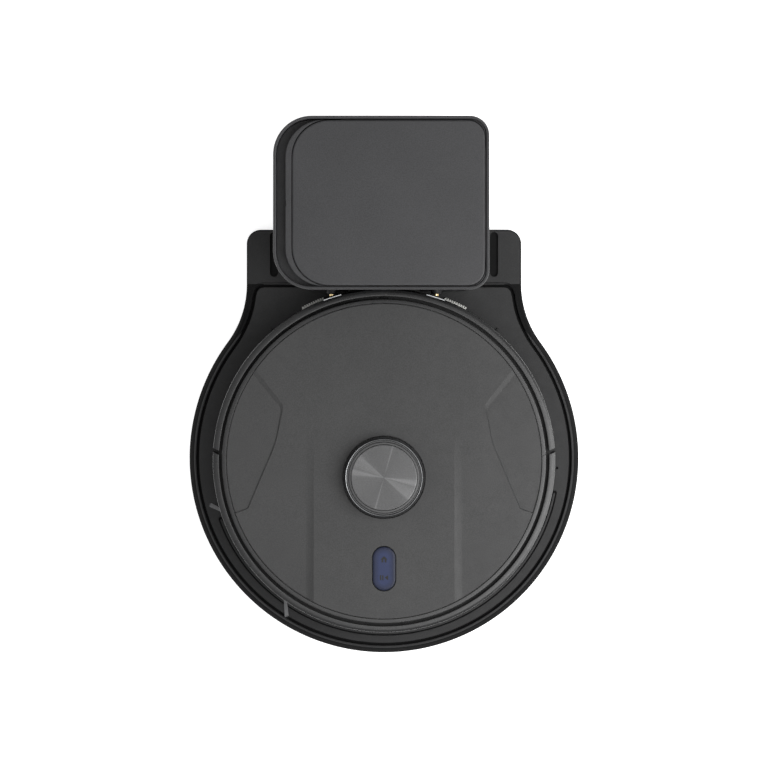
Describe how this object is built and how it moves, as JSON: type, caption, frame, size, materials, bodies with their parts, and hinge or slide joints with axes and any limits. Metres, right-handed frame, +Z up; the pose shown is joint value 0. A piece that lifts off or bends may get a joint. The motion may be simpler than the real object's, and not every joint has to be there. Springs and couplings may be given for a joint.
{
  "type": "robot vacuum",
  "caption": "Round robot vacuum with a laser turret and blue rocker button, docked on the tray of its tall self-emptying dust station.",
  "frame": {"origin": "on the floor, at the middle of the footprint of station and docked robot", "axes": "+Z up, +Y towards the station's tower and its back, -Y the way the robot drives out, +X to the right seen from above with the tower at the top"},
  "size_m": [0.402, 0.5274, 0.4],
  "materials": {
    "station_shell": "satin moulded plastic with a fine grain",
    "tray_plastic": "fine matt grain",
    "lid_panel": "smooth satin",
    "dark_plastic": "matt moulded plastic",
    "robot_cover": "satin with a fine metallic grain",
    "robot_shell": "satin, slightly glossier than the cover",
    "inner_plastic": "plain moulded plastic",
    "white_plastic": "plain moulded plastic",
    "spun_metal": "radially spun, dark anodised",
    "steel": "bright drawn",
    "gold_contact": "plated, polished",
    "seal_rubber": "matt",
    "tyre_rubber": "matt, ribbed",
    "smoke_window": "smoked, polished",
    "circuit_board": "solder-mask green",
    "bag_cloth": "non-woven filter cloth",
    "bag_card": "pressed board",
    "button_blue": "satin blue",
    "brush_bristle": "nylon tufts",
    "battery_wrap": "shrink-wrapped film"
  },
  "bodies": {
    "station": {"tray": "tray_plastic", "foot_front_left": "seal_rubber", "foot_front_right": "seal_rubber", "foot_rear_left": "seal_rubber", "foot_rear_right": "seal_rubber", "tower_shell": "station_shell", "top_frame": "dark_plastic", "lid_hinge_strip": "seal_rubber", "bag_bay": "inner_plastic", "dust_bag": "bag_cloth", "bag_collar": "bag_card", "suction_duct": "inner_plastic", "duct_seal": "seal_rubber", "dock_filter": "white_plastic", "dock_fan_housing": "inner_plastic", "dock_board": "circuit_board", "power_inlet": "dark_plastic", "exhaust_grille": "dark_plastic", "ir_window": "smoke_window"},
    "lid": {"lid": "lid_panel"},
    "dock_contact_left": {"dock_contact_left": "gold_contact"},
    "dock_contact_right": {"dock_contact_right": "gold_contact"},
    "dock_impeller": {"dock_impeller": "dark_plastic"},
    "robot": {"chassis_base": "dark_plastic", "rear_shell": "robot_shell", "top_deck": "robot_shell", "contact_pad_left": "steel", "contact_pad_right": "steel", "lidar_base": "dark_plastic", "lidar_cap": "spun_metal", "lidar_motor": "steel", "lidar_belt": "seal_rubber", "main_board": "circuit_board", "battery_pack": "battery_wrap", "dust_bin": "smoke_window", "bin_lid": "dark_plastic", "fan_housing": "inner_plastic", "brush_guard": "dark_plastic", "brush_gearbox": "inner_plastic", "side_brush_motor": "inner_plastic", "suspension_spring_left": "steel", "suspension_spring_right": "steel"},
    "bumper": {"bumper": "robot_shell", "bumper_window": "smoke_window"},
    "top_cover": {"top_cover": "robot_cover"},
    "button": {"button_plate": "button_blue"},
    "lidar_rotor": {"lidar_rotor": "inner_plastic"},
    "lidar_pulley": {"lidar_pulley": "white_plastic"},
    "bin_flap": {"bin_flap": "seal_rubber"},
    "fan_impeller": {"fan_impeller": "dark_plastic"},
    "main_brush": {"main_brush": "brush_bristle"},
    "side_brush": {"side_brush": "brush_bristle"},
    "arm_left": {"wheel_arm_left": "inner_plastic"},
    "wheel_left": {"wheel_hub_left": "dark_plastic", "tyre_left": "tyre_rubber"},
    "arm_right": {"wheel_arm_right": "inner_plastic"},
    "wheel_right": {"wheel_hub_right": "dark_plastic", "tyre_right": "tyre_rubber"},
    "caster_fork": {"caster_fork": "inner_plastic"},
    "caster_wheel": {"caster_wheel": "white_plastic"}
  },
  "joints": [
    {"name": "lid_hinge", "type": "hinge", "parent": "station", "child": "lid", "pos_m": [0.0942, 0.18245, 0.4], "axis": [0, 1, 0], "range_deg": [0, 95]},
    {"name": "drive_out", "type": "slide", "parent": "station", "child": "robot", "axis": [0, -1, 0], "range_m": [0, 0.175]},
    {"name": "bumper_press", "type": "slide", "parent": "robot", "child": "bumper", "axis": [0, 1, 0], "range_m": [0, 0.0025], "stiffness_N_per_m": 400, "springref_m": -0.003},
    {"name": "cover_lift", "type": "slide", "parent": "robot", "child": "top_cover", "axis": [0, 0, 1], "range_m": [0, 0.06]},
    {"name": "button_rock", "type": "hinge", "parent": "robot", "child": "button", "pos_m": [0, -0.1732, 0.0845], "axis": [1, 0, 0], "range_deg": [-2.5, 2.5], "stiffness_Nm_per_rad": 0.5},
    {"name": "lidar_spin", "type": "hinge", "parent": "robot", "child": "lidar_rotor", "pos_m": [0, -0.0807, 0.09], "axis": [0, 0, 1], "continuous": true},
    {"name": "lidar_pulley_spin", "type": "hinge", "parent": "robot", "child": "lidar_pulley", "pos_m": [0.056, -0.0807, 0.082], "axis": [0, 0, 1], "continuous": true},
    {"name": "bin_flap_swing", "type": "hinge", "parent": "robot", "child": "bin_flap", "pos_m": [0, 0.0857, 0.052], "axis": [-1, 0, 0], "range_deg": [0, 70]},
    {"name": "fan_spin", "type": "hinge", "parent": "robot", "child": "fan_impeller", "pos_m": [-0.052, -0.0515, 0.04], "axis": [0, 0, 1], "continuous": true},
    {"name": "main_brush_spin", "type": "hinge", "parent": "robot", "child": "main_brush", "pos_m": [0, -0.1025, 0.0315], "axis": [1, 0, 0], "continuous": true},
    {"name": "side_brush_spin", "type": "hinge", "parent": "robot", "child": "side_brush", "pos_m": [-0.1067, -0.1457, 0.016], "axis": [0, 0, 1], "continuous": true},
    {"name": "suspension_left", "type": "hinge", "parent": "robot", "child": "arm_left", "pos_m": [-0.101, -0.0865, 0.04], "axis": [1, 0, 0], "range_deg": [0, 9], "stiffness_Nm_per_rad": 3, "springref_deg": -8.59, "deforming": ["suspension_spring_left"]},
    {"name": "suspension_right", "type": "hinge", "parent": "robot", "child": "arm_right", "pos_m": [0.101, -0.0865, 0.04], "axis": [1, 0, 0], "range_deg": [0, 9], "stiffness_Nm_per_rad": 3, "springref_deg": -8.59, "deforming": ["suspension_spring_right"]},
    {"name": "wheel_spin_left", "type": "hinge", "parent": "arm_left", "child": "wheel_left", "pos_m": [-0.118, -0.0505, 0.0393], "axis": [1, 0, 0], "continuous": true},
    {"name": "wheel_spin_right", "type": "hinge", "parent": "arm_right", "child": "wheel_right", "pos_m": [0.118, -0.0505, 0.0393], "axis": [1, 0, 0], "continuous": true},
    {"name": "caster_swivel", "type": "hinge", "parent": "robot", "child": "caster_fork", "pos_m": [0, -0.1925, 0.04], "axis": [0, 0, 1], "continuous": true},
    {"name": "caster_roll", "type": "hinge", "parent": "caster_fork", "child": "caster_wheel", "pos_m": [0, -0.1885, 0.0233], "axis": [1, 0, 0], "continuous": true},
    {"name": "dock_contact_left_press", "type": "slide", "parent": "station", "child": "dock_contact_left", "axis": [0, 1, 0], "range_m": [0, 0.0015], "stiffness_N_per_m": 300, "springref_m": -0.002},
    {"name": "dock_contact_right_press", "type": "slide", "parent": "station", "child": "dock_contact_right", "axis": [0, 1, 0], "range_m": [0, 0.0015], "stiffness_N_per_m": 300, "springref_m": -0.002},
    {"name": "dock_impeller_spin", "type": "hinge", "parent": "station", "child": "dock_impeller", "pos_m": [-0.02, 0.186, 0.17], "axis": [0, 0, 1], "continuous": true}
  ],
  "couplings": [
    {"joint": "lidar_pulley_spin", "follows": "lidar_spin", "ratio": 4.7226},
    {"joint": "wheel_spin_left", "follows": "drive_out", "rad_per_m": 33.333},
    {"joint": "wheel_spin_right", "follows": "drive_out", "rad_per_m": 33.333},
    {"joint": "caster_roll", "follows": "drive_out", "rad_per_m": 71.429}
  ]
}
